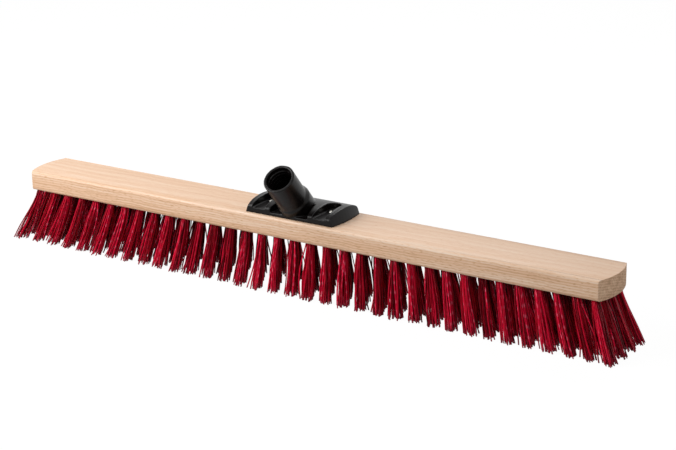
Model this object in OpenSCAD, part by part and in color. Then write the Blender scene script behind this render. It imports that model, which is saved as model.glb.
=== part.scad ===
// Push broom head: a wooden block with four rows of bristle tufts, and a moulded
// handle holder with a threaded socket, screwed to the top of the block.
// Millimetres. X runs along the block, the socket leans towards -Y, Z is up.
// The broom stands on its bristle tips at z = 0, and the origin is at the middle
// of the space that it takes up.

/* [Block] */
// Length of the block
block_len = 800; // [500:10:1000]
// Width of the block, front to back
block_w = 70; // [66:1:90]
// Thickness of the block
block_h = 24; // [23:1:32]
// Radius of the four long edges
edge_r = 4; // [2:0.5:4]
// How far each end bows out in plan
end_bow = 8; // [3:1:12]

/* [Tufts] */
// Free length of the bristles, from the block to the floor
bristle_free = 67; // [50:1:90]
// Distance between tufts along the front row
tuft_pitch = 22.6; // [20:0.2:30]
// Distance of the outer rows from the sides of the block
row_inset = 8.6; // [8.6:0.2:11]
// Diameter of the tuft holes
hole_d = 9; // [7:0.5:9]
// Depth of the tuft holes
hole_depth = 12; // [10:1:12]
// Gap between a folded tuft and its hole
tuft_gap = 0.2; // [0.1:0.1:0.4]
// Least distance from the last tuft's centre to the end of the block
end_margin = 15; // [14:1:25]
// Sideways lean of the two outer rows, in degrees
fan_side = 7.5; // [0:0.5:10]
// Lean along the block near its ends, in degrees
fan_len = 18; // [0:1:20]
// Extra lean of the very last tufts, in degrees
fan_last = 9; // [0:1:12]
// Radius that a tuft opens to at its tips
tip_spread = 7.4; // [4:0.2:7.6]
// How much thicker a bristle is at its tip than at its root, as a share
tip_swell = 0.2; // [0:0.05:0.2]
// How much shorter the shortest bristles are
tip_rag = 4; // [0:0.5:6]
// Thickness of the slice of the block that each row is set in
slice_t = 2; // [1.5:0.5:3]

/* [Wire anchors] */
// Height of the flat wire that anchors each tuft
wire_h = 2.2; // [1.5:0.1:3]
// Thickness of the flat wire
wire_t = 0.6; // [0.4:0.1:1]
// Bristle fold above the wire
fold_t = 2; // [1:0.5:3]
// Gap round the wire
wire_gap = 0.1; // [0.05:0.05:0.2]

/* [Handle holder] */
// Length of the holder along the block, at its corners
holder_len = 120.5; // [112:0.5:140]
// Depth of the holder, front to back
holder_w = 60; // [56:1:64]
// How far each end of the holder bows out
holder_bow = 3; // [1:0.5:5]
// Distance of the holder from the middle of the block
holder_shift = -5.5; // [-20:0.1:20]
// Thickness of the base plate beside the socket
plate_t = 4; // [3:0.5:5]
// Height of the screw floors, which is also that of the upright edge
floor_h = 6.5; // [5:0.5:7]
// Height of the domed pads
dome_h = 15; // [12:0.5:18]
// How far the ends slope in from bottom to top
end_slope = 5.5; // [1:0.5:10]
// Half the width of the channel that the socket stands in
channel_half = 22.5; // [21:0.5:25]
// How much further out each side of the channel is at the front
channel_flare = 4; // [0:0.5:7]
// Width of a screw pocket
pocket_w = 17.5; // [14:0.5:20]
// Distance from a screw to the end of the holder, at its corners
screw_inset = 18.5; // [16:0.5:20]
// Distance of the screws behind the block's middle line
screw_y = -1; // [-8:0.5:2]
// Width of the raised rim round a pocket
rim_w = 1.6; // [1:0.2:2.4]
// Height of that rim above the dome
rim_h = 0.5; // [0.3:0.1:1]

/* [Socket] */
// Slope of the socket above the block, in degrees
socket_tilt = 50; // [44:1:60]
// Length of the socket along its axis, from the block to its mouth
socket_len = 70.4; // [64:0.2:80]
// Where the socket's axis meets the block, behind its middle line
socket_foot = -2.2; // [-8:0.2:2]
// Outside radius of the socket
socket_r = 18.8; // [18:0.1:20]
// Radius of the thicker root at the back of the socket
root_r = 20.6; // [20.2:0.1:22]
// How far the root sits behind the socket's axis
root_back = 1; // [0.5:0.1:2]
// Length of the root
root_len = 36.5; // [32:0.5:50]
// Bore radius, over the crests of the thread
bore_r = 14.2; // [12:0.1:14.5]
// Depth of the bore
bore_depth = 48; // [38:1:50]
// Depth of the thread
thread_depth = 1.2; // [0.6:0.1:1.5]
// Pitch of the thread
thread_pitch = 5; // [4:0.5:6]
// Width of a thread crest
crest_w = 1.8; // [1:0.1:2]
// Depth of the plain lead-in before the thread
lead_in = 6; // [3:0.5:8]
// Flare at the mouth
mouth_flare = 0.5; // [0.3:0.1:1]

/* [Screws] */
// Diameter of the screw shank
screw_d = 4; // [3:0.5:5]
// How deep the screws go into the block
screw_bite = 10.5; // [6:0.5:10.5]
// Diameter of the screw head
head_d = 8; // [7:0.5:9]
// Height of the screw head
head_h = 2.4; // [2:0.1:3]
// Clearance round the shank
screw_gap = 0.15; // [0.1:0.05:0.3]

/* [Hidden] */
$fn = 96;

wood = "burlywood";
crimson = "crimson";
black_plastic = [0.12, 0.11, 0.11];
zinc = "silver";

slack = 1;              // how far a cutting shape runs past what it cuts
rows = 4;
outer_row_y = block_w / 2 - row_inset;
row_pitch = 2 * outer_row_y / (rows - 1);
flat_half = block_w / 2 - edge_r;
long_row = 2 * floor((block_len / 2 - end_margin) / tuft_pitch) + 1;
last_tuft_x = (long_row - 1) / 2 * tuft_pitch;
slice_half_len = last_tuft_x + hole_d / 2 + slice_t;
slice_half_w = min(flat_half, outer_row_y + row_pitch / 2);
block_z = bristle_free;
top_z = bristle_free + block_h;

// ---- where the origin is ----

// The socket mouth reaches furthest forward, and the back row's tips furthest back
mouth_y = socket_foot - socket_len * cos(socket_tilt);
reach_back = outer_row_y + bristle_free * tan(fan_side) + tip_spread;
reach_front = min(mouth_y - socket_r * sin(socket_tilt), -reach_back);
frame_y = -(reach_front + reach_back) / 2;

// ---- tufts and their bristles ----

function row_y(row) = (row - (rows - 1) / 2) * row_pitch;
// All rows are equally long, but every second row has one tuft less: its tufts are level with
// their neighbours at the ends of the block, and lie between them in the middle
function row_count(row) = row % 2 == 0 ? long_row : long_row - 1;
function tuft_x(row, i) = last_tuft_x * (2 * i / (row_count(row) - 1) - 1);
// Tufts lean outwards more and more towards the ends of the block
fan_power = 1.3;        // of the lean that grows along the whole row
last_power = 12;        // of the lean that only the last tufts have
function lean_x(x) = let (u = abs(x) / last_tuft_x)
    sign(x) * (fan_len * pow(u, fan_power) + fan_last * pow(u, last_power));
function lean_y(y) = fan_side * y / outer_row_y;
// The outer rows show most, so their tufts have one bristle more and a bend
function is_outer(row) = row == 0 || row == rows - 1;
function bristle_count(row) = is_outer(row) ? 4 : 3;
// Thick enough to fill the hole, and thin enough to stay clear of each other
four_in_hole = 2.7;     // hole radius over bristle radius, with four bristles in the hole
three_in_hole = 2.5;
function bristle_r(row) = hole_d / 2 / (is_outer(row) ? four_in_hole : three_in_hole);
// Heights of the rings of a bristle, as shares of its drop from the block
function ring_shares(row) = is_outer(row) ? [0, 0.5, 1] : [0, 1];
bristle_sides = 3;
hole_sides = 8;         // the tuft holes are out of sight, so they are plain octagons
root_sunk = slice_t / 2;
bend = 0.15;            // share of the lean that a tuft only gains on its way down
least_open = 0.85;      // the tightest and the widest tufts, as shares of tip_spread
most_open = 1.1;
most_turn = 40;         // degrees that a tuft may be turned in its hole
rag_power = 3;          // few bristles are much shorter than the rest
cut_depth = 0.5;        // the longest bristles are trimmed this much, to one level

// Centre of a bristle at a share of its drop: it leans with its tuft and away from its axis
function bristle_centre(x, y, root_off, angle, spread, drop, share) =
    let (off = root_off + max(0, spread - root_off) * share,
        h = drop * share * (1 - bend + bend * share))
    [x + h * tan(lean_x(x)) + off * cos(angle),
        y + h * tan(lean_y(y)) + off * sin(angle),
        block_z - drop * share];

// The rings of one bristle, from its root in the slice to its tip
function bristle_rings(row, x, y, angle, spread, drop) =
    let (r = bristle_r(row), root_off = hole_d / 2 - r)
    [for (share = ring_shares(row))
        let (c = bristle_centre(x, y, root_off, angle, spread, drop, share),
            z = share == 0 ? block_z + root_sunk : c[2],
            ring_r = r * (1 + tip_swell * share))
        for (s = [0 : bristle_sides - 1])
            let (a = angle + s * 360 / bristle_sides)
            [c[0] + ring_r * cos(a), c[1] + ring_r * sin(a), z]];

// The faces of one bristle whose points start at number p
function bristle_faces(row, p) =
    let (n = bristle_sides, last = len(ring_shares(row)) - 1)
    concat(
        [[for (s = [n - 1 : -1 : 0]) p + s]],
        [for (k = [0 : last - 1]) for (s = [0 : n - 1])
            [p + k * n + s, p + k * n + (s + 1) % n, p + (k + 1) * n + (s + 1) % n]],
        [for (k = [0 : last - 1]) for (s = [0 : n - 1])
            [p + k * n + s, p + (k + 1) * n + (s + 1) % n, p + (k + 1) * n + s]],
        [[for (s = [0 : n - 1]) p + last * n + s]]);

// All bristles of a row: each tuft is turned, and each bristle opens and ends, a little differently
module bristles(row) {
    per_tuft = bristle_count(row);
    total = row_count(row) * per_tuft;
    turn = rands(-most_turn, most_turn, row_count(row), row);
    open = rands(least_open, most_open, total, row + rows);
    short = rands(0, 1, total, row + 2 * rows);
    tip_r = bristle_r(row) * (1 + tip_swell);
    points_each = bristle_sides * len(ring_shares(row));
    points = [for (i = [0 : row_count(row) - 1]) for (j = [0 : per_tuft - 1])
        let (b = i * per_tuft + j,
            tip = max(0, tip_rag * pow(short[b], rag_power) - cut_depth))
        each bristle_rings(row, tuft_x(row, i), row_y(row), j * 360 / per_tuft + turn[i],
            tip_spread * open[b] - tip_r, bristle_free - tip)];
    faces = [for (b = [0 : total - 1]) each bristle_faces(row, b * points_each)];
    polyhedron(points, faces);
}

// The folded end of each tuft, slotted for its wire
module tuft_folds(row) {
    fold_top = block_z + hole_depth - tuft_gap;
    for (i = [0 : row_count(row) - 1])
        translate([tuft_x(row, i), row_y(row), block_z])
            difference() {
                translate([0, 0, root_sunk])
                    cylinder(r = hole_d / 2 - tuft_gap, h = fold_top - block_z - root_sunk, $fn = hole_sides);
                translate([0, 0, hole_depth - tuft_gap - fold_t - wire_h / 2])
                    cube([hole_d + slack, wire_t + 2 * wire_gap, wire_h + 2 * wire_gap], center = true);
            }
}

// The slice of the block's underside that a row is set in
module row_slice(row) {
    near = row == 0 ? -slice_half_w : row_y(row) - row_pitch / 2;
    far = row == rows - 1 ? slice_half_w : row_y(row) + row_pitch / 2;
    translate([-slice_half_len, near, block_z])
        cube([2 * slice_half_len, far - near, slice_t]);
}

module bristle_row(row) {
    color(crimson)
        translate([0, frame_y, 0])
            union() {
                row_slice(row);
                tuft_folds(row);
                bristles(row);
            }
}

// Short pieces of flat wire, one in the fold of every tuft
module tuft_wires(row) {
    wire_len = hole_d - wire_t;
    color(zinc)
        translate([0, frame_y, block_z + hole_depth - tuft_gap - fold_t - wire_h / 2 - wire_gap])
            for (i = [0 : row_count(row) - 1])
                translate([tuft_x(row, i), row_y(row), 0])
                    cube([wire_len, wire_t, wire_h], center = true);
}

// ---- block ----

// What is sawn off the ends of the block in plan, which leaves them as arcs
module end_waste() {
    arc_r = (pow(block_w / 2, 2) + pow(end_bow, 2)) / (2 * end_bow);
    for (side = [-1, 1])
        difference() {
            translate([side * block_len / 2, 0])
                square([2 * (end_bow + slack), block_w + 2 * slack], center = true);
            translate([side * (block_len / 2 - arc_r), 0])
                circle(r = arc_r, $fn = 200);
        }
}

// Cross-section of the block with its four rounded edges
module block_section() {
    difference() {
        square([block_w, block_h], center = true);
        for (sy = [-1, 1]) for (sz = [-1, 1])
            translate([sy * (block_w / 2 - edge_r), sz * (block_h / 2 - edge_r)])
                scale([sy, sz])
                    difference() {
                        square(edge_r + slack);
                        circle(r = edge_r, $fn = 48);
                    }
    }
}

module broom_block() {
    color(wood)
        translate([0, frame_y, 0])
            difference() {
                translate([-block_len / 2, 0, block_z + block_h / 2])
                    rotate([90, 0, 90])
                        linear_extrude(block_len) block_section();
                translate([0, 0, block_z - slack])
                    linear_extrude(block_h + 2 * slack) end_waste();
                translate([-slice_half_len, -slice_half_w, block_z - slack])
                    cube([2 * slice_half_len, 2 * slice_half_w, slice_t + slack]);
                for (row = [0 : rows - 1]) for (i = [0 : row_count(row) - 1])
                    translate([tuft_x(row, i), row_y(row), block_z])
                        cylinder(d = hole_d, h = hole_depth, $fn = hole_sides);
                for (side = [-1, 1])
                    translate([holder_shift + side * screw_x, screw_y, top_z - screw_reach])
                        cylinder(d = screw_d + 2 * screw_gap, h = screw_reach + slack, $fn = 32);
            }
}

// ---- handle holder ----

screw_x = holder_len / 2 - screw_inset;
screw_len = floor_h + screw_bite;
screw_reach = screw_bite + screw_gap;   // depth of the screw holes
dome_power = 0.5;       // 0.5 gives an ellipse, and less gives steeper sides
pocket_back = 4.2;       // how far the round end of a pocket is centred behind its screw
channel_back = 12.8;     // how far the channel reaches past the socket's foot
root_cone = 9;          // length of the soft shoulder at the end of the root
shoulder_in = 0.2;      // how far the shoulder dips into the socket's outside
back_edge = 1;          // width of the holder left behind the socket's root

// Height of the dome above the block at a distance y from its middle line
function dome_z(y) = floor_h + (dome_h - floor_h) * pow(max(0, 1 - pow(2 * y / holder_w, 2)), dome_power);

// Cross-section of the pads: upright edges, and a dome between them
module dome_section(lift) {
    steps = 32;
    half = holder_w / 2;
    polygon(concat(
        [[half, 0]],
        [for (k = [0 : steps])
            let (y = half * cos(180 * k / steps), at_edge = k == 0 || k == steps)
            [y, dome_z(y) + (at_edge ? 0 : lift)]],
        [[-half, 0]]));
}

// The dome, over a stretch of the holder's length
module dome_bar(from, to, lift = 0) {
    translate([from, 0, 0])
        rotate([90, 0, 90])
            linear_extrude(to - from) dome_section(lift);
}

// Sloping ends that bow out in plan
module end_shape() {
    len = holder_len + 2 * holder_bow;
    arc_r = (pow(holder_w / 2, 2) + pow(holder_bow, 2)) / (2 * holder_bow);
    intersection_for (side = [-1, 1])
        translate([side * (len / 2 - arc_r), 0, 0])
            cylinder(r1 = arc_r, r2 = arc_r - end_slope, h = dome_h + slack, $fn = 400);
}

// Plan of a screw pocket, open at the front and round at the back
module pocket_plan(grow) {
    r = pocket_w / 2 + grow;
    back_y = screw_y + pocket_back;
    translate([0, back_y]) circle(r = r, $fn = 64);
    translate([-r, -holder_w / 2 - slack]) square([2 * r, holder_w / 2 + slack + back_y]);
}

// Everything of the holder but its socket
module holder_base() {
    difference() {
        intersection() {
            union() {
                dome_bar(-holder_len, holder_len);
                for (side = [-1, 1])
                    intersection() {
                        dome_bar(side * screw_x - holder_len / 4, side * screw_x + holder_len / 4, rim_h);
                        translate([side * screw_x, 0, plate_t])
                            linear_extrude(dome_h) pocket_plan(rim_w);
                    }
            }
            end_shape();
        }
        for (side = [-1, 1])
            translate([side * screw_x, 0, floor_h])
                linear_extrude(dome_h) pocket_plan(0);
        channel();
        for (side = [-1, 1])
            translate([side * screw_x, screw_y, -slack])
                cylinder(d = screw_d + 2 * screw_gap, h = floor_h + 2 * slack, $fn = 32);
    }
}

// The channel round the foot of the socket, rounded at the back and wider at the front
module channel() {
    back_y = socket_foot + channel_back - channel_half;
    front_y = -holder_w / 2 - slack;
    front_half = channel_half + channel_flare;
    translate([0, 0, plate_t])
        linear_extrude(dome_h) {
            translate([0, back_y]) circle(r = channel_half);
            polygon([[channel_half, back_y], [-channel_half, back_y],
                [-front_half, front_y], [front_half, front_y]]);
        }
}

// Places what is modelled along +Z on the socket's axis, with z = 0 at the block
module along_socket() {
    translate([0, socket_foot, 0])
        rotate([90 - socket_tilt, 0, 0])
            children();
}

// Outside of the socket, cut off level with the block
module socket_outside() {
    sunk = 2 * root_r;
    intersection() {
        along_socket()
            union() {
                translate([0, 0, -sunk]) cylinder(r = socket_r, h = socket_len + sunk);
                translate([0, root_back, -sunk]) cylinder(r = root_r, h = root_len + sunk - root_cone);
                translate([0, root_back, root_len - root_cone])
                    cylinder(r1 = root_r, r2 = socket_r - root_back - shoulder_in, h = root_cone);
            }
        translate([-holder_len, -2 * socket_len, 0])
            cube([2 * holder_len, 2 * socket_len + holder_w / 2 - back_edge, 2 * socket_len]);
    }
}

// The bore: a plain lead-in, then one groove round it for every turn of the thread
module socket_bore() {
    turns = floor((bore_depth - lead_in) / thread_pitch) - 1;
    groove_w = thread_pitch - crest_w;
    root_of_thread = bore_r + thread_depth;
    translate([0, 0, socket_len - bore_depth]) cylinder(r = bore_r, h = bore_depth + slack);
    translate([0, 0, socket_len - lead_in]) cylinder(r = root_of_thread, h = lead_in + slack);
    translate([0, 0, socket_len - mouth_flare])
        cylinder(r1 = root_of_thread, r2 = root_of_thread + mouth_flare + slack, h = mouth_flare + slack);
    for (t = [0 : turns - 1])
        translate([0, 0, socket_len - lead_in - crest_w - groove_w / 2 - thread_pitch * t])
            rotate_extrude()
                polygon([[bore_r - slack, -groove_w / 2], [bore_r, -groove_w / 2],
                    [root_of_thread, -groove_w / 6], [root_of_thread, groove_w / 6],
                    [bore_r, groove_w / 2], [bore_r - slack, groove_w / 2]]);
}

module handle_holder() {
    color(black_plastic)
        translate([holder_shift, frame_y, top_z])
            difference() {
                union() {
                    holder_base();
                    socket_outside();
                }
                along_socket() socket_bore();
            }
}

// ---- screws ----

// A pan-head wood screw with a cross recess, its head's underside at z = 0
module wood_screw() {
    tip = screw_d;
    crown = 0.7;            // how much the head's rim falls from its middle
    recess_d = 4.4;
    recess_w = 0.9;
    recess_depth = 1.6;
    head_r = head_d / 2;
    difference() {
        rotate_extrude($fn = 48)
            polygon(concat(
                [[0, -screw_len], [screw_d / 2, tip - screw_len], [screw_d / 2, 0], [head_r, 0]],
                [for (k = [0 : 6]) let (a = 90 * k / 6)
                    [head_r - crown + crown * cos(a), head_h - 2 * crown + crown * sin(a)]],
                [[head_r / 2, head_h - crown / 3], [0, head_h]]));
        for (turn = [45, 135])
            rotate([0, 0, turn])
                translate([0, 0, head_h - recess_depth / 2 + slack / 2])
                    cube([recess_d, recess_w, recess_depth + slack], center = true);
    }
}

module holder_screw(side) {
    color(zinc)
        translate([holder_shift + side * screw_x, frame_y + screw_y, top_z + floor_h])
            wood_screw();
}

broom_block();
handle_holder();
holder_screw(-1);  // holder_screw_left
holder_screw(1);  // holder_screw_right
bristle_row(0);  // bristle_row_front
bristle_row(1);  // bristle_row_front_inner
bristle_row(2);  // bristle_row_back_inner
bristle_row(3);  // bristle_row_back
tuft_wires(0);  // tuft_wires_front
tuft_wires(1);  // tuft_wires_front_inner
tuft_wires(2);  // tuft_wires_back_inner
tuft_wires(3);  // tuft_wires_back
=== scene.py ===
# %% [markdown]
# # A push broom head
#
# The real object is a wide sweeping broom without its handle: a planed beech block, four rows of
# crimson bristle tufts set into its underside, and a black moulded holder screwed on top. The
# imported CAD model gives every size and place. This script dresses it piece by piece, and each
# cell below first says what the real piece is and then how it is made here.

# %% Load the frame
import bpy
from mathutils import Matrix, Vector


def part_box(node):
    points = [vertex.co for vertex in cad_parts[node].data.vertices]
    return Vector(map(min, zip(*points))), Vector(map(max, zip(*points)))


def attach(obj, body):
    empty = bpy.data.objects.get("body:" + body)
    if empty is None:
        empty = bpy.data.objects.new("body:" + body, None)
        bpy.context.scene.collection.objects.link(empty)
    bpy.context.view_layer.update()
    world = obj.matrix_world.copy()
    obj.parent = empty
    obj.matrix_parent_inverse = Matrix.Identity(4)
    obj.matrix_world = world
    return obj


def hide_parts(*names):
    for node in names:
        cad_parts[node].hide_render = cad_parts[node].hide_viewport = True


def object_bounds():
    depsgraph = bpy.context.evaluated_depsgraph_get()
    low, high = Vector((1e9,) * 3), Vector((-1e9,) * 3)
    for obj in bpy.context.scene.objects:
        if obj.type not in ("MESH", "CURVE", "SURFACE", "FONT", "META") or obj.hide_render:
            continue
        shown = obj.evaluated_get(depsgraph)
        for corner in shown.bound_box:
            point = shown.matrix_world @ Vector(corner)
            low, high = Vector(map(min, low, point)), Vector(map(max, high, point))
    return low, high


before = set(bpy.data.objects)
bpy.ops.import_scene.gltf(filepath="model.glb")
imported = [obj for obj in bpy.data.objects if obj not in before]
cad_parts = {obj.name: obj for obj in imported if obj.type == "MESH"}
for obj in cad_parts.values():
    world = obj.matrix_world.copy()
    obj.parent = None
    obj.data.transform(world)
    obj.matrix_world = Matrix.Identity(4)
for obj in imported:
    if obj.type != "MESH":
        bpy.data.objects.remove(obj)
cad_box = [list(corner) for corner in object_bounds()]

import math
import random

import bmesh
import bpy
from mathutils import Matrix, Vector


def in_mm(box):
    """A box's corners in millimetres, for printing."""
    return [[round(1000 * value, 1) for value in corner] for corner in box]


print("CAD box in mm:", in_mm(cad_box))

# %% [markdown]
# ## Helpers
#
# Blender works in metres and in linear colour, but a maker thinks in millimetres and picks
# colours as hex codes. One constant and one function bridge the two. Node trees could be built
# with a function for every kind of node, but a single function that adds any node with its
# settings, values and links is enough, and keeps each material readable from top to bottom.

# %% Units and colours
MM = 0.001


def linear(hex_colour):
    """Turn an sRGB hex colour into the linear values that shaders use."""
    shares = [int(hex_colour[k:k + 2], 16) / 255 for k in (1, 3, 5)]
    return [s / 12.92 if s <= 0.04045 else ((s + 0.055) / 1.055) ** 2.4 for s in shares] + [1.0]


# %% Nodes and materials
def add_node(tree, kind, settings={}, values={}, links={}):
    """Add a node, with its own settings, its sockets' values, and the links that feed it."""
    node = tree.nodes.new(kind)
    for name, value in settings.items():
        setattr(node, name, value)
    for name, value in values.items():
        node.inputs[name].default_value = value
    for name, source in links.items():
        tree.links.new(source, node.inputs[name])
    return node


def new_material(name, values={}):
    """A material with one Principled shader, and the values that are the same all over it."""
    material = bpy.data.materials.new(name)
    material.use_nodes = True
    tree = material.node_tree
    tree.nodes.clear()
    surface = add_node(tree, "ShaderNodeBsdfPrincipled", values=values)
    add_node(tree, "ShaderNodeOutputMaterial", links={"Surface": surface.outputs["BSDF"]})
    return material, tree, surface


def colour_steps(ramp_node, steps):
    """Set a colour ramp from (position, hex colour) pairs."""
    elements = ramp_node.color_ramp.elements
    while len(elements) < len(steps):
        elements.new(0.5)
    for element, (position, colour) in zip(elements, steps):
        element.position = position
        element.color = linear(colour)


# %% Pieces
def new_piece(name, shape, body="root"):
    """Turn a bmesh into an object of the scene that rides on a body."""
    mesh = bpy.data.meshes.new(name)
    shape.to_mesh(mesh)
    shape.free()
    piece = bpy.data.objects.new(name, mesh)
    bpy.context.scene.collection.objects.link(piece)
    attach(piece, body)
    return piece


# %% [markdown]
# ## The camera
#
# A long lens from a little over two metres away, a third of a right angle round to the right
# and a little above, so that the head fills the view from left to right and its long edges run
# nearly parallel. The camera could be aimed with a Track To constraint, but a matrix built from
# its three angles also holds the small roll that the view has.

# %% Camera
camera_turn = math.radians(33.09)
camera_height_angle = math.radians(18.50)
camera_roll = math.radians(-0.82)
lens_length = 104.7941      # millimetres, on a sensor 36 mm wide
block_low, block_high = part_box("broom_block")
block_middle = (block_low + block_high) / 2
block_foot = Vector((block_middle.x, block_middle.y, block_low.z))
camera_place = block_foot + Vector((1222.70, -1809.39, 739.47)) * MM

sight = Vector((-math.sin(camera_turn) * math.cos(camera_height_angle),
                math.cos(camera_turn) * math.cos(camera_height_angle),
                -math.sin(camera_height_angle)))
level_right = Vector((math.cos(camera_turn), math.sin(camera_turn), 0))
level_up = level_right.cross(sight)
right = level_right * math.cos(camera_roll) + level_up * math.sin(camera_roll)
up = level_up * math.cos(camera_roll) - level_right * math.sin(camera_roll)

camera_data = bpy.data.cameras.new("camera")
camera_data.sensor_fit = "HORIZONTAL"
camera_data.sensor_width = 36
camera_data.lens = lens_length
camera = bpy.data.objects.new("camera", camera_data)
bpy.context.scene.collection.objects.link(camera)
turned = Matrix((right, up, -sight)).transposed().to_4x4()
camera.matrix_world = Matrix.Translation(camera_place) @ turned
bpy.context.scene.camera = camera
print("Camera:", round((camera_place - block_foot).length, 2), "m from the block")

# %% [markdown]
# ## The beech block
#
# The block is one bar of steamed beech, 800 mm long, planed on four sides with its long edges
# rounded on a spindle moulder, and sawn at the ends along a shallow curve. It could be carried
# over from the CAD model, but there its underside is cut away for the rows' own slices, so a
# whole bar replaces it. A cube is stretched, sliced across its width so that its ends can
# follow the curve, and bevelled: 4 mm on the long edges, and a hair on the sawn ones.

# %% Block sizes
edge_radius = 4 * MM
edge_steps = 8
end_bow = 8 * MM
end_cuts = 23               # slices that let the sawn ends follow their curve
sawn_edge = 0.5 * MM
sawn_steps = 2
on_side = 1e-6              # how near to a side an edge counts as lying on it
rim_angle = 1               # radians between two faces, above which an end's edge is a rim
faces_end = 0.8             # how squarely a face looks along the bar to count as end grain
block_size = block_high - block_low
end_radius = ((block_size.y / 2) ** 2 + end_bow ** 2) / (2 * end_bow)
print("The ends are sawn to a radius of", round(1000 * end_radius), "mm")


def is_along_x(edge):
    """True for an edge that runs the whole length of the block."""
    a, b = edge.verts
    return abs(a.co.x - b.co.x) > block_size.x / 2


def is_across(edge):
    """True for an edge that runs from the front of the block to its back."""
    a, b = edge.verts
    return abs(a.co.y - b.co.y) > block_size.y / 2


# %% Block
block_shape = bmesh.new()
bmesh.ops.create_cube(block_shape, size=1)
bmesh.ops.scale(block_shape, vec=block_size, verts=block_shape.verts)
cross_edges = [e for e in block_shape.edges if is_across(e)]
bmesh.ops.subdivide_edges(block_shape, edges=cross_edges, cuts=end_cuts, use_grid_fill=True)
for vert in block_shape.verts:
    retreat = end_radius - math.sqrt(end_radius ** 2 - vert.co.y ** 2)
    vert.co.x -= math.copysign(retreat, vert.co.x)
side_y = block_size.y / 2 - on_side
long_edges = [e for e in block_shape.edges
              if is_along_x(e) and all(abs(v.co.y) > side_y for v in e.verts)]
bmesh.ops.bevel(block_shape, geom=long_edges, offset=edge_radius, segments=edge_steps,
                profile=0.5, affect="EDGES", material=-1)
end_rims = [e for e in block_shape.edges
            if not is_along_x(e) and e.calc_face_angle(0) > rim_angle]
bmesh.ops.bevel(block_shape, geom=end_rims, offset=sawn_edge, segments=sawn_steps,
                profile=0.5, affect="EDGES", material=-1)
bmesh.ops.translate(block_shape, vec=block_middle, verts=block_shape.verts)
for face in block_shape.faces:
    face.material_index = 1 if abs(face.normal.x) > faces_end else 0
    face.smooth = True
block = new_piece("beech_block", block_shape)
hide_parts("broom_block")
print("Block:", [round(1000 * size) for size in block_size], "mm,",
      len(block.data.polygons), "faces")

# %% [markdown]
# ## Where the tufts go
#
# Four equally long rows of holes are drilled into the block. The second and fourth have one
# tuft less, so their tufts stand level with their neighbours at the ends of the block, and
# between them in the middle. The anchor wires of the CAD model lie in the holes, so their box
# gives each row's line and its two ends, less the half wire that runs past the last tuft. The
# bristles fan out: sideways in the outer rows, and lengthwise more and more towards the ends
# of the block.

# %% Tuft layout
floor_z = cad_box[0][2]
wood_z = block_low.z
free_length = wood_z - floor_z
hole_radius = 4.5 * MM      # as in the CAD model
wire_length = 8.4 * MM      # as there too
row_tufts = {"front": 35, "front_inner": 34, "back_inner": 35, "back": 34}
wires_low, wires_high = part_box("tuft_wires_front")
last_tuft_x = (wires_high.x - wires_low.x - wire_length) / 2


def row_y(row):
    """The y of a row's line."""
    low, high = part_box("tuft_wires_" + row)
    return (low.y + high.y) / 2


outer_row_y = row_y("back") - block_foot.y
print("Last tufts:", round(1000 * last_tuft_x, 1), "mm from the middle")

# %% Lean of the tufts
fan_side = 7.5              # degrees that the outer rows lean outwards
fan_left = (23, 0.8, 2)     # lean at the left end in degrees, its power, and the last tuft's extra
fan_right = (20, 1, 1)
last_power = 12             # high, so that only the last two or three tufts get the extra


def lean_along(x):
    """Lean of a tuft along the block, in radians: none in the middle, most at the ends.

    The left half fans out a little further than the right, and sooner."""
    share = abs(x) / last_tuft_x
    degrees, power, extra = fan_left if x < 0 else fan_right
    return math.copysign(math.radians(degrees * share ** power + extra * share ** last_power), x)


def lean_across(y):
    """Lean of a row to its own side, in radians."""
    return math.radians(fan_side) * (y - block_foot.y) / outer_row_y


for x in (-last_tuft_x, last_tuft_x):
    print("Lean of an end tuft:", round(math.degrees(lean_along(x))), "degrees")

# %% [markdown]
# ## The bristles
#
# Each tuft is a bundle of extruded PVC filaments, folded in two and pinned into its hole, so
# that a few dozen ends stand out of the wood. Here there are forty. They could be hair
# particles, but those don't export as a mesh. Instead one filament is made once, a thin square
# rod cut into seven lengths, and copied for every place in every tuft. A copy starts in its
# hole, packed like seeds in a sunflower head, leans with its tuft, spreads out towards the
# floor, bows a little on its own way, and ends a little short at random, as trimmed and used
# bristles do. Every filament carries two numbers that its material reads: its own shade, and
# how far down a point is.

# %% Filament
filament_width = 1.15 * MM
filament_cuts = 6

filament_shape = bmesh.new()
bmesh.ops.create_cube(filament_shape, size=1)
upright = [e for e in filament_shape.edges if abs(e.verts[0].co.z - e.verts[1].co.z) > 0.5]
bmesh.ops.subdivide_edges(filament_shape, edges=upright, cuts=filament_cuts)
filament_mesh = bpy.data.meshes.new("filament")
filament_shape.to_mesh(filament_mesh)
filament_shape.free()
print("One filament has", len(filament_mesh.polygons), "faces")

# %% How tufts and filaments differ
filaments_per_tuft = 40
sunflower_turn = math.radians(137.5)
sunk = 3 * MM               # the filaments start inside the wood
at_root = 0.01              # share of the length above which a point counts as the root
tip_radius = 7.8 * MM
least_full, most_full = 0.86, 1.14      # the tightest and the widest tuft, as shares of that
middle_wander = 1.3         # degrees that a tuft may lean by chance; a degree less at the ends
side_wander = 0.8           # the same across the block
stray_share = 0.11          # filaments that have come loose from their tuft's bundle
stray_reach = 2.2           # how much further those wander
tip_scatter = 1.1           # millimetres that a tip strays by chance
bow_scatter = 0.9           # millimetres that a filament bows by chance
wave_scatter = 0.5          # millimetres that it waves by chance
most_cut = 5 * MM           # how much shorter the shortest filaments are
cut_power = 3               # high, so that few are that short
splay_power = 0.9           # below 1, so that a tuft opens a little sooner than a cone
straight_share = 0.85       # share of the lean that a tuft has from its root on
print(filaments_per_tuft * sum(row_tufts.values()), "filaments in all")


def scatter(luck, spread):
    """A random step in the plane."""
    return Vector((luck.gauss(0, spread), luck.gauss(0, spread)))


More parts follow.
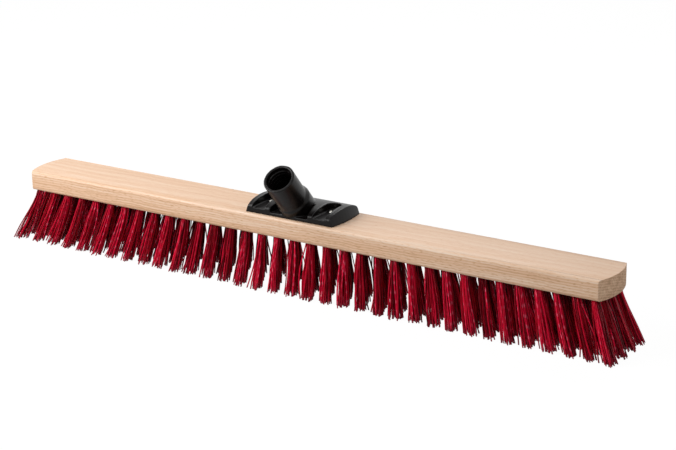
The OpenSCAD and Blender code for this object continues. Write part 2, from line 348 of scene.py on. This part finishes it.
def within(value, axis):
    """The value, kept inside the CAD box, past which no bristle may stray."""
    return min(max(value, cad_box[0][axis]), cad_box[1][axis])


# %% One tuft
def add_tuft(shape, x, y, luck, shade_layer, drop_layer):
    """Add the filaments of one tuft, whose hole is at x and y."""
    turn = luck.uniform(0, 2 * math.pi)
    fullness = luck.uniform(least_full, most_full)
    wander = middle_wander - abs(x) / last_tuft_x
    along = lean_along(x) + math.radians(luck.gauss(0, wander))
    across = lean_across(y) + math.radians(luck.gauss(0, side_wander))
    for k in range(filaments_per_tuft):
        angle = k * sunflower_turn + turn
        seed_share = math.sqrt((k + 0.5) / filaments_per_tuft)
        outward = Vector((math.cos(angle), math.sin(angle))) * seed_share
        root = outward * (hole_radius - filament_width / 2)
        splay = outward * tip_radius * fullness
        loose = stray_reach if luck.random() < stray_share else 1.0
        splay += scatter(luck, tip_scatter) * loose * MM
        bow = scatter(luck, bow_scatter) * loose * MM
        wave = scatter(luck, wave_scatter) * MM
        length = free_length - most_cut * luck.random() ** cut_power
        own_shade = luck.random()
        start = len(shape.verts)
        shape.from_mesh(filament_mesh)
        shape.verts.ensure_lookup_table()
        spin = Matrix.Rotation(luck.uniform(0, math.pi / 2), 2)
        for vert in shape.verts[start:]:
            down = 0.5 - vert.co.z              # 0 at the wood, 1 at the tip
            middle = root.lerp(splay, max(0.0, down) ** splay_power)
            middle += bow * math.sin(math.pi * down)
            middle += wave * math.sin(2 * math.pi * down)
            corner = spin @ Vector((vert.co.x, vert.co.y)) * filament_width
            depth = max(0.0, down) * length
            leant = depth * (straight_share + (1 - straight_share) * down)
            into_wood = sunk if down < at_root else 0
            vert.co = (within(x + middle.x + corner.x + leant * math.tan(along), 0),
                       within(y + middle.y + corner.y + leant * math.tan(across), 1),
                       wood_z - depth + into_wood)
            vert[shade_layer] = own_shade
            vert[drop_layer] = down


# %% Bristle rows
def bristle_row(row, seed):
    """All tufts of one row, as one piece."""
    luck = random.Random(seed)
    shape = bmesh.new()
    shade_layer = shape.verts.layers.float.new("shade")
    drop_layer = shape.verts.layers.float.new("drop")
    last = row_tufts[row] - 1
    for k in range(row_tufts[row]):
        x = last_tuft_x * (2 * k / last - 1)
        add_tuft(shape, x, row_y(row), luck, shade_layer, drop_layer)
    for face in shape.faces:
        face.smooth = True
    bmesh.ops.recalc_face_normals(shape, faces=shape.faces)
    piece = new_piece("bristles_" + row, shape)
    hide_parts("bristle_row_" + row)
    print(piece.name, "has", len(piece.data.polygons), "faces")
    return piece


bristle_pieces = [bristle_row(row, seed) for seed, row in enumerate(row_tufts)]

# %% [markdown]
# ## The handle holder
#
# The holder is one injection moulding: two domed pads with a pocket for each screw, and a
# threaded socket that leans towards the sweeper. Every edge that leaves a mould is slightly
# rounded, but the CAD solid has sharp ones. A Bevel grows no wider than the shortest edges
# allow, and where the socket runs into the dome there are hundreds of tiny ones. So a merged
# copy of the CAD mesh is wrapped in an even skin by a voxel Remesh, and relaxed a little, which
# rounds all of its edges and corners by about half a millimetre.

# %% Holder
merge_reach = 0.004 * MM    # corners of the CAD mesh that lie closer than this are one
skin_grain = 0.7 * MM
relax_rounds = 3

holder_shape = bmesh.new()
holder_shape.from_mesh(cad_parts["handle_holder"].data)
bmesh.ops.remove_doubles(holder_shape, verts=holder_shape.verts, dist=merge_reach)
holder = new_piece("moulded_holder", holder_shape)
skin = holder.modifiers.new("even_skin", "REMESH")
skin.mode = "VOXEL"
skin.voxel_size = skin_grain
skin.use_smooth_shade = True
skinned = holder.evaluated_get(bpy.context.evaluated_depsgraph_get())
holder_shape = bmesh.new()
holder_shape.from_mesh(bpy.data.meshes.new_from_object(skinned))
for _ in range(relax_rounds):
    bmesh.ops.smooth_vert(holder_shape, verts=holder_shape.verts, factor=0.5,
                          use_axis_x=True, use_axis_y=True, use_axis_z=True)
holder.modifiers.clear()
holder_shape.to_mesh(holder.data)
holder_shape.free()
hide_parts("handle_holder")
print("Holder:", len(holder.data.polygons), "faces")

# %% [markdown]
# ## Beech
#
# Steamed beech is pale pinkish brown, with close year rings and short dark rays. A picture of
# wood would be the quick way, but a solid pattern that lives in space is truer: the rings are
# shells round the trunk's centre, which lies a quarter of a metre below this bar, so they run
# as fine lines along its sides and nearly level across the sawn ends. The top of the bar shows
# little of this, so a painted sheen fades the pattern into one paler, even tone where a face
# looks up. The planed faces are matt with a slight sheen; the end grain drinks light and looks
# darker, but its colours are painted lighter, as painted light on the sawn ends.

# %% Sizes of the beech pattern
ring_width = 3.0            # millimetres; beech has rings of 2 to 3
ray_size = (6.0, 0.7)       # length and width, drawn about twice as big, or they would not show
fibre_size = (125, 2.0)     # drawn ten times as wide, for the same reason
streak_size = (1000 / 3, 20 / 3)        # slow drifts of tone, three of them to a metre
wave_turn = 20              # radians that the Wave texture turns in a metre at a scale of 1
from_trunk = Vector((0, 0.05, 0.16))    # metres from the trunk's centre to the frame's origin
trunk_slant = (0, 0.012, 0.008)         # radians; no bar is sawn quite true to its trunk
print("The trunk's centre is", round(100 * (from_trunk.z + wood_z)), "cm below the block")


def long_flecks(tree, place, size, detail):
    """Noise that is drawn out along the bar, of a length and width in millimetres."""
    length, width = size
    per_metre = (1 / (length * MM), 1 / (width * MM), 1 / (width * MM))
    stretched = add_node(tree, "ShaderNodeMapping", links={"Vector": place},
                         values={"Scale": per_metre})
    flecks = add_node(tree, "ShaderNodeTexNoise", values={"Scale": 1.0, "Detail": detail},
                      links={"Vector": stretched.outputs["Vector"]})
    return flecks.outputs["Fac"]


def year_rings(tree, place):
    """Rings round the centre of the trunk."""
    trunk = add_node(tree, "ShaderNodeMapping", links={"Vector": place},
                     values={"Location": from_trunk, "Rotation": trunk_slant})
    rings = add_node(tree, "ShaderNodeTexWave",
                     {"wave_type": "RINGS", "rings_direction": "X", "wave_profile": "SIN"},
                     {"Scale": 2 * math.pi / (wave_turn * ring_width * MM),
                      "Distortion": 5.0, "Detail": 2.0, "Detail Scale": 0.25},
                     {"Vector": trunk.outputs["Vector"]})
    return rings.outputs["Fac"]


# %% The figure of the wood
fibre_share = 0.45          # of the fine fibres, against the slow streaks
ring_share = 0.13           # of the rings, against both
ray_depth = 0.2             # how much darker a ray is
ray_from, ray_full = 0.62, 0.72         # the peaks of its noise that a ray is cut from
# Painted sheen on the top: where a face looks up, the pattern fades into one paler tone
top_sheen_share = 0.55             # how much of the pattern the top loses
top_sheen_tone = 0.58             # the tone it fades into, between middle and light


def wood_figure(tree, place, faces, fibres):
    """Fibres, streaks and rings, less the dark rays, and a painted sheen: paler and calmer where a
    face looks up.
    """
    mixed = add_node(tree, "ShaderNodeMix", {"data_type": "FLOAT"}, {"Factor": fibre_share},
                     {"A": long_flecks(tree, place, streak_size, 2.0), "B": fibres})
    with_rings = add_node(tree, "ShaderNodeMix", {"data_type": "FLOAT"}, {"Factor": ring_share},
                          {"A": mixed.outputs["Result"], "B": year_rings(tree, place)})
    rays = add_node(tree, "ShaderNodeMapRange",
                    values={"From Min": ray_from, "From Max": ray_full, "To Max": ray_depth},
                    links={"Value": long_flecks(tree, place, ray_size, 0.0)})
    with_rays = add_node(tree, "ShaderNodeMath", {"operation": "SUBTRACT"}, {},
                         {0: with_rings.outputs["Result"], 1: rays.outputs["Result"]})
    facing = add_node(tree, "ShaderNodeSeparateXYZ", links={"Vector": faces})
    painted_top_sheen = add_node(tree, "ShaderNodeMath", {"operation": "MULTIPLY", "use_clamp": True},
                    {1: top_sheen_share}, {0: facing.outputs["Z"]})
    figure = add_node(tree, "ShaderNodeMix", {"data_type": "FLOAT"}, {"B": top_sheen_tone},
                      {"Factor": painted_top_sheen.outputs["Value"], "A": with_rays.outputs["Value"]})
    return figure.outputs["Result"]


# %% Beech materials
beech_tones = (0.26, 0.5, 0.7)          # where the dark, middle and light colours lie


def beech(name, colours, roughness):
    """Planed or sawn beech, from a dark, a middle and a light colour."""
    material, tree, surface = new_material(name, {"Roughness": roughness, "IOR": 1.5,
                                                  "Specular IOR Level": 0.6})
    where = add_node(tree, "ShaderNodeTexCoord")
    place, faces = where.outputs["Object"], where.outputs["Normal"]
    fibres = long_flecks(tree, place, fibre_size, 3.0)
    ramp = add_node(tree, "ShaderNodeValToRGB",
                    links={"Fac": wood_figure(tree, place, faces, fibres)})
    colour_steps(ramp, list(zip(beech_tones, colours)))
    tree.links.new(ramp.outputs["Color"], surface.inputs["Base Color"])
    bump = add_node(tree, "ShaderNodeBump", values={"Strength": 0.25, "Distance": 0.15 * MM},
                    links={"Height": fibres})
    tree.links.new(bump.outputs["Normal"], surface.inputs["Normal"])
    print(name, "has", len(tree.nodes), "nodes")
    return material


# Planed: pale and matt with a slight sheen, fine dark dashes on the sides
planed_beech = beech("planed_beech", ("#bf9067", "#deb694", "#ead2bc"), 0.5)
# Sawn across: duller, because the open pores swallow light; end grain looks darker, but these
# colours are painted lighter, as painted light on the sawn ends, which the lamps light little
sawn_beech_lightened = beech("sawn_beech_end_grain", ("#ac8262", "#dcb492", "#f0d0b0"), 0.85)
block.data.materials.append(planed_beech)
block.data.materials.append(sawn_beech_lightened)

# %% [markdown]
# ## Crimson PVC
#
# The bristles are extruded PVC, dyed through in a deep crimson and crimped, so each filament is
# nearly black in the shade of its tuft and flashes pink at the kinks that turn to the light.
# Light could be carried through them with subsurface scattering, but at one millimetre
# thickness a plain plastic with a shade that varies from filament to filament gives much the
# same look with a simpler shader. Their gloss is kept low, because hundreds of thin rods side
# by side would mirror the white room as a grey haze.

# %% Colour along a filament
crimson_pvc, tree, surface = new_material(
    "extruded_crimson_pvc", {"Roughness": 0.3, "IOR": 1.53, "Specular IOR Level": 0.06})
shade = add_node(tree, "ShaderNodeAttribute", {"attribute_name": "shade"})
drop = add_node(tree, "ShaderNodeAttribute", {"attribute_name": "drop"})
own_red = add_node(tree, "ShaderNodeValToRGB", links={"Fac": shade.outputs["Fac"]})
colour_steps(own_red, [(0.0, "#50040c"), (0.45, "#ae0a22"), (1.0, "#e81842")])
worn_from = 0.85            # share of a filament's length at which the scuffed tip begins
worn = add_node(tree, "ShaderNodeMapRange",
                values={"From Min": worn_from, "From Max": 1.0, "To Max": 0.4},
                links={"Value": drop.outputs["Fac"]})
tipped = add_node(tree, "ShaderNodeMix", {"data_type": "RGBA"},
                  links={"Factor": worn.outputs["Result"], "A": own_red.outputs["Color"]})
tipped.inputs["B"].default_value = linear("#d83a58")
print("The last", round(1000 * free_length * (1 - worn_from)), "mm of each filament are scuffed")

# %% [markdown]
# Right under the wood, little light gets in between the outer rows, so the roots of the inner
# ones are almost black. The render's own shadows could do this, but under these lamps they
# leave the roots too bright. So shade is painted into the inner rows' colour as well: it darkens
# towards the wood, except in the end tufts, which stand open to the side.

# %% Painted shade between the rows
inner_reach, outer_from = 14 * MM, 23 * MM          # from the middle line, across the block
open_end = 20 * MM
shade_ends = 0.6            # share of the length below which the inner rows are lit as well
light_at_root = 0.2
place = add_node(tree, "ShaderNodeTexCoord").outputs["Object"]
from_middle = add_node(tree, "ShaderNodeVectorMath", {"operation": "SUBTRACT"},
                       {1: block_foot}, {0: place})
to_outside = add_node(tree, "ShaderNodeVectorMath", {"operation": "ABSOLUTE"}, {},
                      {0: from_middle.outputs["Vector"]})
away = add_node(tree, "ShaderNodeSeparateXYZ", links={"Vector": to_outside.outputs["Vector"]})
past_inner_rows = add_node(tree, "ShaderNodeMapRange", {"interpolation_type": "SMOOTHSTEP"},
                           {"From Min": inner_reach, "From Max": outer_from},
                           {"Value": away.outputs["Y"]})
near_the_end = add_node(tree, "ShaderNodeMapRange", {"interpolation_type": "SMOOTHSTEP"},
                        {"From Min": last_tuft_x - open_end, "From Max": last_tuft_x},
                        {"Value": away.outputs["X"]})
below_wood = add_node(tree, "ShaderNodeMapRange", {"interpolation_type": "SMOOTHSTEP"},
                      {"From Max": shade_ends, "To Min": light_at_root},
                      {"Value": drop.outputs["Fac"]})
outermost = add_node(tree, "ShaderNodeMath", {"operation": "MAXIMUM"}, {},
                     {0: past_inner_rows.outputs["Result"], 1: near_the_end.outputs["Result"]})
open_to_light = add_node(tree, "ShaderNodeMath", {"operation": "MAXIMUM"}, {},
                         {0: outermost.outputs["Value"], 1: below_wood.outputs["Result"]})
# Painted shade: near-black #1c0004 is mixed into the inner rows' colour towards the wood
painted_root_shade = add_node(tree, "ShaderNodeMix", {"data_type": "RGBA"},
                  links={"Factor": open_to_light.outputs["Value"],
                         "B": tipped.outputs["Result"]})
painted_root_shade.inputs["A"].default_value = linear("#1c0004")
print("The inner rows' shade ends", round(1000 * free_length * shade_ends), "mm below the wood")

# %% [markdown]
# The crimp is a small regular wave that keeps the filaments springy. Its kinks catch the light
# one after the other, as a row of short pink dashes. The wave itself could be in the mesh, but
# it is finer than the seven lengths of a filament can follow. So these glints are a painted
# highlight in the colour: a sine of the way down a filament says where its kinks are, and its
# shade says whether it is one of those that are turned to the light.

# %% Painted glints on the crimp
crimps = 6                  # kinks along a filament, one every 11 mm
phase_spread = 40.0         # large, so that neighbours seldom glint at the same height
dash_from = 0.2             # height of the sine at which a dash begins
turned_from, turned_full = 0.76, 0.96   # shades of the filaments that are turned to the light
least_glint, most_glint = 0.03, 0.75
crimp_phase = add_node(tree, "ShaderNodeMath", {"operation": "MULTIPLY"}, {1: phase_spread},
                       {0: shade.outputs["Fac"]})
crimp_turn = add_node(tree, "ShaderNodeMath", {"operation": "MULTIPLY_ADD"},
                      {1: 2 * math.pi * crimps},
                      {0: drop.outputs["Fac"], 2: crimp_phase.outputs["Value"]})
crimp = add_node(tree, "ShaderNodeMath", {"operation": "SINE"}, {},
                 {0: crimp_turn.outputs["Value"]})
dashes = add_node(tree, "ShaderNodeMapRange", values={"From Min": dash_from, "From Max": 1.0},
                  links={"Value": crimp.outputs["Value"]})
turned_to_light = add_node(tree, "ShaderNodeMapRange",
                           values={"From Min": turned_from, "From Max": turned_full,
                                   "To Min": least_glint, "To Max": most_glint},
                           links={"Value": shade.outputs["Fac"]})
lit_turn = add_node(tree, "ShaderNodeMath", {"operation": "MULTIPLY"}, {},
                    {0: turned_to_light.outputs["Result"], 1: open_to_light.outputs["Value"]})
painted_glint_share = add_node(tree, "ShaderNodeMath", {"operation": "MULTIPLY"}, {},
                 {0: dashes.outputs["Result"], 1: lit_turn.outputs["Value"]})
# Painted highlight: pale pink #f07088 is mixed into the colour in dashes at the kinks
painted_glints = add_node(tree, "ShaderNodeMix", {"data_type": "RGBA"},
                    links={"Factor": painted_glint_share.outputs["Value"], "A": painted_root_shade.outputs["Result"]})
painted_glints.inputs["B"].default_value = linear("#f07088")
tree.links.new(painted_glints.outputs["Result"], surface.inputs["Base Color"])
for piece in bristle_pieces:
    piece.data.materials.append(crimson_pvc)
print(crimson_pvc.name, "has", len(tree.nodes), "nodes")

# %% [markdown]
# ## Black moulded plastic
#
# The holder is injection moulded polypropylene, coloured black. Its mould was lightly blasted,
# so the surface is satin: broad soft highlights on the domed pads and the socket, and a warm
# dark grey where the light only grazes it.

# %% Holder material
grain_width = 0.9           # millimetres; a real grain is about half as wide, and wouldn't show
cloud_width = 50 / 3        # millimetres; the mould's polish drifts this slowly
black_plastic, tree, surface = new_material("moulded_black_polypropylene",
                                            {"IOR": 1.49, "Specular IOR Level": 0.17})
place = add_node(tree, "ShaderNodeTexCoord").outputs["Object"]
grain = add_node(tree, "ShaderNodeTexNoise",
                 values={"Scale": 1 / (grain_width * MM), "Detail": 2.0},
                 links={"Vector": place})
clouds = add_node(tree, "ShaderNodeTexNoise",
                  values={"Scale": 1 / (cloud_width * MM), "Detail": 3.0},
                  links={"Vector": place})
sheen = add_node(tree, "ShaderNodeMapRange", values={"To Min": 0.24, "To Max": 0.36},
                 links={"Value": clouds.outputs["Fac"]})
tree.links.new(sheen.outputs["Result"], surface.inputs["Roughness"])
tint = add_node(tree, "ShaderNodeValToRGB", links={"Fac": clouds.outputs["Fac"]})
colour_steps(tint, [(0.3, "#080505"), (0.7, "#0f0b0b")])
tree.links.new(tint.outputs["Color"], surface.inputs["Base Color"])
bump = add_node(tree, "ShaderNodeBump", values={"Strength": 0.2, "Distance": 0.05 * MM},
                links={"Height": grain.outputs["Fac"]})
tree.links.new(bump.outputs["Normal"], surface.inputs["Normal"])
holder.data.materials.append(black_plastic)
print(black_plastic.name, "has", len(tree.nodes), "nodes")

# %% [markdown]
# ## Zinc-plated steel
#
# The two screws are bright zinc-plated steel and the anchor wires plain drawn steel. Both are
# metals, so their colour is the colour of their reflection, and a little cloudiness in the
# roughness keeps them from looking like chrome. The CAD model's own screws and wires have the
# right shape, so they stay and only get the new finish.

# %% Steel materials
def cloudy_steel(name, colour, cloud_width):
    """A cool pale metal with a cloudy sheen, of clouds this many millimetres wide."""
    material, tree, surface = new_material(name, {"Metallic": 1.0, "Base Color": linear(colour)})
    place = add_node(tree, "ShaderNodeTexCoord").outputs["Object"]
    clouds = add_node(tree, "ShaderNodeTexNoise",
                      values={"Scale": 1 / (cloud_width * MM), "Detail": 3.0},
                      links={"Vector": place})
    cloudy = add_node(tree, "ShaderNodeMapRange", values={"To Min": 0.35, "To Max": 0.5},
                      links={"Value": clouds.outputs["Fac"]})
    tree.links.new(cloudy.outputs["Result"], surface.inputs["Roughness"])
    return material


def refinish(node, material):
    """Give a CAD node's own object a new material."""
    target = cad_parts[node]
    target.data.materials.clear()
    target.data.materials.append(material)
    print(node, "is now", material.name)


zinc = cloudy_steel("zinc_plated_steel", "#efece4", 2.0)
drawn_wire = cloudy_steel("drawn_steel_wire", "#a9a9a6", 10 / 9)
for side in ("left", "right"):
    refinish("holder_screw_" + side, zinc)
for row in row_tufts:
    refinish("tuft_wires_" + row, drawn_wire)

# %% [markdown]
# ## The studio
#
# The head stands on a white sweep in a white room that fills in the shadows. The main soft lamp
# is at its front left, so the light fades along the block to the right. A weaker one behind it
# lights its top, and a faint one at the right keeps the sawn end from going dark. To the camera
# and to anything glossy, floor and room glow at their own white, so the object needs no more
# light than shows its colours as they are, and the floor still keeps a faint shadow.

# %% White room
scene = bpy.context.scene
scene.view_settings.view_transform = "Standard"
white = linear("#ffffff")
room_fill = 0.22            # how strongly the room lights the object


def is_looked_at(tree):
    """1 for rays that show a surface to the eye, in gloss or through glass, 0 for its light."""
    rays = add_node(tree, "ShaderNodeLightPath")
    seen = add_node(tree, "ShaderNodeMath", {"operation": "MAXIMUM"}, {},
                    {0: rays.outputs["Is Camera Ray"], 1: rays.outputs["Is Glossy Ray"]})
    seen = add_node(tree, "ShaderNodeMath", {"operation": "MAXIMUM"}, {},
                    {0: seen.outputs["Value"], 1: rays.outputs["Is Transmission Ray"]})
    return seen.outputs["Value"]


world = bpy.data.worlds.new("white_room")
scene.world = world
world.use_nodes = True
tree = world.node_tree
tree.nodes.clear()
room_light = add_node(tree, "ShaderNodeBackground",
                      values={"Color": white, "Strength": room_fill})
room_seen = add_node(tree, "ShaderNodeBackground", values={"Color": white, "Strength": 1.0})
room = add_node(tree, "ShaderNodeMixShader", links={"Fac": is_looked_at(tree)})
tree.links.new(room_light.outputs["Background"], room.inputs[1])
tree.links.new(room_seen.outputs["Background"], room.inputs[2])
add_node(tree, "ShaderNodeOutputWorld", links={"Surface": room.outputs["Shader"]})
print("The room lights the object at", room_fill, "and is seen at 1")

# %% Floor
floor_half = 6.0            # metres
floor_shape = bmesh.new()
bmesh.ops.create_grid(floor_shape, x_segments=1, y_segments=1, size=floor_half)
floor_mesh = bpy.data.meshes.new("floor")
floor_shape.to_mesh(floor_mesh)
floor_shape.free()
floor = bpy.data.objects.new("floor", floor_mesh)
floor.location.z = floor_z
scene.collection.objects.link(floor)
print("Floor at", round(1000 * floor_z, 1), "mm")

# %% Paper sweep
shadow_left = 0.12          # how much of the floor's real shading the camera sees
glow_strength = 1.1         # makes up for the darker share that is left
# Matt paper: no gloss at all, and a grey that bounces back only a little light
sweep, tree, surface = new_material("white_paper_sweep", {
    "Roughness": 0.9, "Specular IOR Level": 0.0, "Base Color": linear("#a4a4a4")})
glow = add_node(tree, "ShaderNodeEmission", values={"Color": white, "Strength": glow_strength})
glow_share = add_node(tree, "ShaderNodeMath", {"operation": "MULTIPLY"}, {1: 1 - shadow_left},
                      {0: is_looked_at(tree)})
both = add_node(tree, "ShaderNodeMixShader", links={"Fac": glow_share.outputs["Value"]})
tree.links.new(surface.outputs["BSDF"], both.inputs[1])
tree.links.new(glow.outputs["Emission"], both.inputs[2])
output = [n for n in tree.nodes if n.type == "OUTPUT_MATERIAL"][0]
tree.links.new(both.outputs["Shader"], output.inputs["Surface"])
floor.data.materials.append(sweep)
print(sweep.name, "keeps", shadow_left, "of its shadows")

# %% Lamps
lamps = {                   # place in metres, width in metres, power in watts
    "key_light": ((-1.5, -1.2, 1.2), 1.7, 59),
    "back_light": ((-0.3, 1.2, 1.4), 0.8, 9),
    "side_light": ((1.4, -0.4, 0.9), 0.8, 4),
}
for name, (place, width, power) in lamps.items():
    lamp_data = bpy.data.lights.new(name, "AREA")
    lamp_data.size = width
    lamp_data.energy = power
    lamp = bpy.data.objects.new(name, lamp_data)
    lamp.location = place
    lamp.rotation_euler = (block_foot - Vector(place)).to_track_quat("-Z", "Y").to_euler()
    scene.collection.objects.link(lamp)
    print(name, "has", power, "W")
